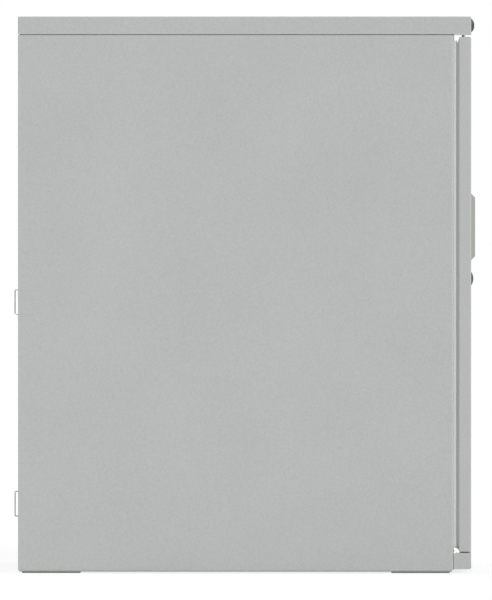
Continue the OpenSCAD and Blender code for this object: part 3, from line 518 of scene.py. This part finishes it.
def new_piece(name, mesh, stands_for):
    """An object from a bmesh, with the body and the finish of the solid part that it stands for."""
    piece = bpy.data.objects.new(name, bpy.data.meshes.new(name))
    mesh.to_mesh(piece.data)
    mesh.free()
    piece.data.shade_smooth()
    piece.data.set_sharp_from_angle(angle=SMOOTH)
    level = piece.modifiers.new("level_flats", "WEIGHTED_NORMAL")
    level.weight = FLAT_WEIGHT
    level.keep_sharp = True
    piece.data.materials.append(finish_of[stands_for])
    bpy.context.scene.collection.objects.link(piece)
    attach(piece, body_of(frame["nodes"][stands_for])[0])
    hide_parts(stands_for)
    print(name, "has", len(piece.data.polygons), "faces")
    return piece


# %% [markdown]
# ## The seal
#
# A cellular rubber strip runs round the door opening, and the door presses on it. Such a strip is
# extruded with grooves, so that it gives more easily, and it is cut to length and mitred at the
# corners. A sweep along a path would round the corners. Insetting one rectangle again and again
# keeps every mitre straight: each step moves in across the strip, and its depth goes up or down the
# profile. The solid leaves a gap of 0.3 mm to the door, and the rubber rises into it, as if it were
# squeezed.

# %% Grooved seal
SEAL_H_MM, SEAL_DRAFT_MM = 2.2, 0.02
LIP_MM, SQUEEZE_MM = 0.15, 0.25
SIDE_RIDGE_MM, MIDDLE_RIDGE_MM = 2.15, 2.16
GROOVE_SIDE_MM, GROOVE_FLOOR_MM, GROOVE_DEPTH_MM = 0.35, 0.9, 0.9

outer_side = [(SEAL_DRAFT_MM, SEAL_H_MM), (LIP_MM, SQUEEZE_MM)]
inner_side = [(LIP_MM, -SQUEEZE_MM), (SEAL_DRAFT_MM, -SEAL_H_MM)]
side_ridge = [(SIDE_RIDGE_MM, 0)]
middle_ridge = [(MIDDLE_RIDGE_MM, 0)]
groove = [
    (GROOVE_SIDE_MM, -GROOVE_DEPTH_MM), (GROOVE_FLOOR_MM, 0), (GROOVE_SIDE_MM, GROOVE_DEPTH_MM),
]
profile = outer_side + side_ridge + groove + middle_ridge + groove + side_ridge + inner_side

seal_low, seal_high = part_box("door_seal")
mesh = bmesh.new()
face = mesh.faces.new([mesh.verts.new((x, seal_high.y, z)) for x, z in (
    (seal_low.x, seal_low.z), (seal_high.x, seal_low.z),
    (seal_high.x, seal_high.z), (seal_low.x, seal_high.z),
)])
mesh.normal_update()
for across, rise in profile:
    bmesh.ops.inset_region(
        mesh, faces=[face], thickness=across * MM, depth=rise * MM,
        use_even_offset=True, use_boundary=True,
    )
bmesh.ops.delete(mesh, geom=[face], context="FACES_ONLY")
bmesh.ops.bridge_loops(mesh, edges=[edge for edge in mesh.edges if edge.is_boundary])
bmesh.ops.recalc_face_normals(mesh, faces=mesh.faces[:])
new_piece("grooved_seal", mesh, "door_seal")

# %% [markdown]
# ## The feet
#
# Four rubber pads keep the foot flanges off the floor. They are moulded, so their corners and rims
# are round, and a shallow hollow with sloped sides lets them grip. One pad starts as a flat grid.
# Its corners are rounded first, then it is thickened, and the other three are copies.

# %% One rubber foot
PAD_W, PAD_L = 16 * MM, 60 * MM
PAD_CORNER, CORNER_STEPS = 2 * MM, 5
PAD_RIM, RIM_STEPS = 0.35 * MM, 3
PAD_SLOPE, PAD_HOLLOW = 3 * MM, 0.4 * MM
RIM_ANGLE = math.radians(60)
HALF_UNIT = 0.5  # create_grid takes half the side of the square

pad_low, pad_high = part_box("foot_pads")
mesh = bmesh.new()
bmesh.ops.create_grid(mesh, x_segments=1, y_segments=1, size=HALF_UNIT)
bmesh.ops.scale(mesh, verts=mesh.verts[:], vec=(PAD_W, PAD_L, 1))
bmesh.ops.translate(
    mesh, verts=mesh.verts[:], vec=(pad_low.x + PAD_W / 2, pad_low.y + PAD_L / 2, pad_high.z),
)
bmesh.ops.bevel(
    mesh, geom=mesh.verts[:], offset=PAD_CORNER, offset_type="OFFSET", affect="VERTICES",
    segments=CORNER_STEPS, profile=0.5, material=-1,
)
grown = bmesh.ops.extrude_face_region(mesh, geom=mesh.faces[:])["geom"]
under = [item for item in grown if isinstance(item, bmesh.types.BMFace)]
bmesh.ops.translate(mesh, verts=under[0].verts[:], vec=(0, 0, pad_low.z - pad_high.z))
bmesh.ops.recalc_face_normals(mesh, faces=mesh.faces[:])
bmesh.ops.inset_region(
    mesh, faces=under, thickness=PAD_SLOPE, depth=-PAD_HOLLOW, use_even_offset=True,
)
rims = [edge for edge in mesh.edges if edge.is_manifold and edge.calc_face_angle() > RIM_ANGLE]
bmesh.ops.bevel(
    mesh, geom=rims, offset=PAD_RIM, offset_type="OFFSET", affect="EDGES",
    segments=RIM_STEPS, profile=0.5, material=-1,
)
print("one foot has", len(mesh.faces), "faces")

# %% The other three feet
step_x = pad_high.x - pad_low.x - PAD_W
step_y = pad_high.y - pad_low.y - PAD_L
first = mesh.verts[:] + mesh.edges[:] + mesh.faces[:]
for move in ((step_x, 0, 0), (0, step_y, 0), (step_x, step_y, 0)):
    copied = bmesh.ops.duplicate(mesh, geom=first)["geom"]
    points = [item for item in copied if isinstance(item, bmesh.types.BMVert)]
    bmesh.ops.translate(mesh, verts=points, vec=move)
new_piece("rubber_feet", mesh, "foot_pads")

# %% [markdown]
# ## Rounded edges
#
# No real edge is perfectly sharp. Powder thickens over a cut edge, a casting has a radius from its
# die, and a turned screw head is deburred. The solids have the large bends, and a copy of each part
# that is seen gets the small ones. The copy is merged, and its flat triangles are joined into whole
# faces, so that the bevel finds only the true edges.

# %% Helpers for edges
WELD = 0.001 * MM
FLAT = math.radians(0.5)
SHARP = math.radians(40)
EDGE_STEPS = 3


def copy_of(node):
    """A bmesh of a solid part, with its triangles welded and each flat face made whole."""
    mesh = bmesh.new()
    mesh.from_mesh(frame["nodes"][node].data)
    bmesh.ops.remove_doubles(mesh, verts=mesh.verts[:], dist=WELD)
    bmesh.ops.dissolve_limit(mesh, angle_limit=FLAT, verts=mesh.verts[:], edges=mesh.edges[:])
    return mesh


def soften(mesh, radius_mm):
    """Rounds the edges at which two faces meet sharply."""
    sharp = [edge for edge in mesh.edges if edge.is_manifold and edge.calc_face_angle() > SHARP]
    bmesh.ops.bevel(
        mesh, geom=sharp, offset=radius_mm * MM, offset_type="OFFSET", affect="EDGES",
        segments=EDGE_STEPS, profile=0.5, material=-1, clamp_overlap=True,
    )
    return mesh


print("edges over", round(math.degrees(SHARP)), "degrees are rounded")

# %% [markdown]
# ## How round each part is
#
# The radius follows how a part is made. The cast pull has the largest. The lid is lifted by its
# edges, so they are dressed before the coat goes on. The other sheet parts, and the turned and
# stamped pieces, are only deburred. A radius stays under half of a sheet's thickness, so that two
# bevels never meet.

# %% Cast, turned and folded parts
EDGE_MM = {
    "pull_handle": 0.7,
    "lid_screws": 0.35,
    "lock_barrel": 0.25,
    "lock_plug": 0.2,
    "lock_cam": 0.3,
    "cam_screw": 0.25,
    "strap_loops": 0.25,
    "lid": 0.6,
    "sill": 0.3,
    "door_panel": 0.3,
}
for node, radius_mm in EDGE_MM.items():
    new_piece("rounded_" + node, soften(copy_of(node), radius_mm), node)

# %% [markdown]
# ## Nuts
#
# A hexagon nut is turned before it is threaded, which takes its twelve corners off in a cone.
# Bevelling the corner points, and not the edges, gives those small slanted facets. The corners of a
# nut are the points that lie furthest from its bore.

# %% Helpers for nuts
CORNER_SHARE = 0.16
CORNER_REACH = 0.98


def separate(mesh):
    """The groups of joined points in a mesh, one for each nut."""
    found = set()
    for start in mesh.verts:
        if start not in found:
            found.add(start)
            group = [start]
            for point in group:  # the list grows while it is read
                near = [edge.other_vert(point) for edge in point.link_edges]
                group += [other for other in near if other not in found]
                found.update(near)
            yield group


def chamfer(mesh, bore_axis):
    """Cuts the corners of a part's nuts, which are alike, with their bores along the axis."""
    corners, reach = [], 0
    for group in separate(mesh):
        middle = sum((point.co for point in group), Vector()) / len(group)
        arms = {point: point.co - middle for point in group}
        off = {point: arm - arm.project(bore_axis) for point, arm in arms.items()}
        reach = max(away.length for away in off.values())
        corners += [point for point, away in off.items() if away.length > CORNER_REACH * reach]
    bmesh.ops.bevel(
        mesh, geom=corners, offset=CORNER_SHARE * reach, offset_type="OFFSET", affect="VERTICES",
        segments=1, profile=0.5, material=-1,
    )
    return mesh


print("helpers: separate, chamfer")

# %% Chamfered nuts
ALONG_X, ALONG_Y, ALONG_Z = Vector((1, 0, 0)), Vector((0, 1, 0)), Vector((0, 0, 1))
BORE_AXES = {
    "header_nuts": ALONG_Y,
    "sill_nuts": ALONG_Y,
    "handle_nuts": ALONG_Y,
    "lock_nut": ALONG_Y,
    "shelf_nuts": ALONG_Z,
    "earth_nuts": ALONG_X,
}
for node, axis in BORE_AXES.items():
    new_piece("chamfered_" + node, chamfer(copy_of(node), axis), node)
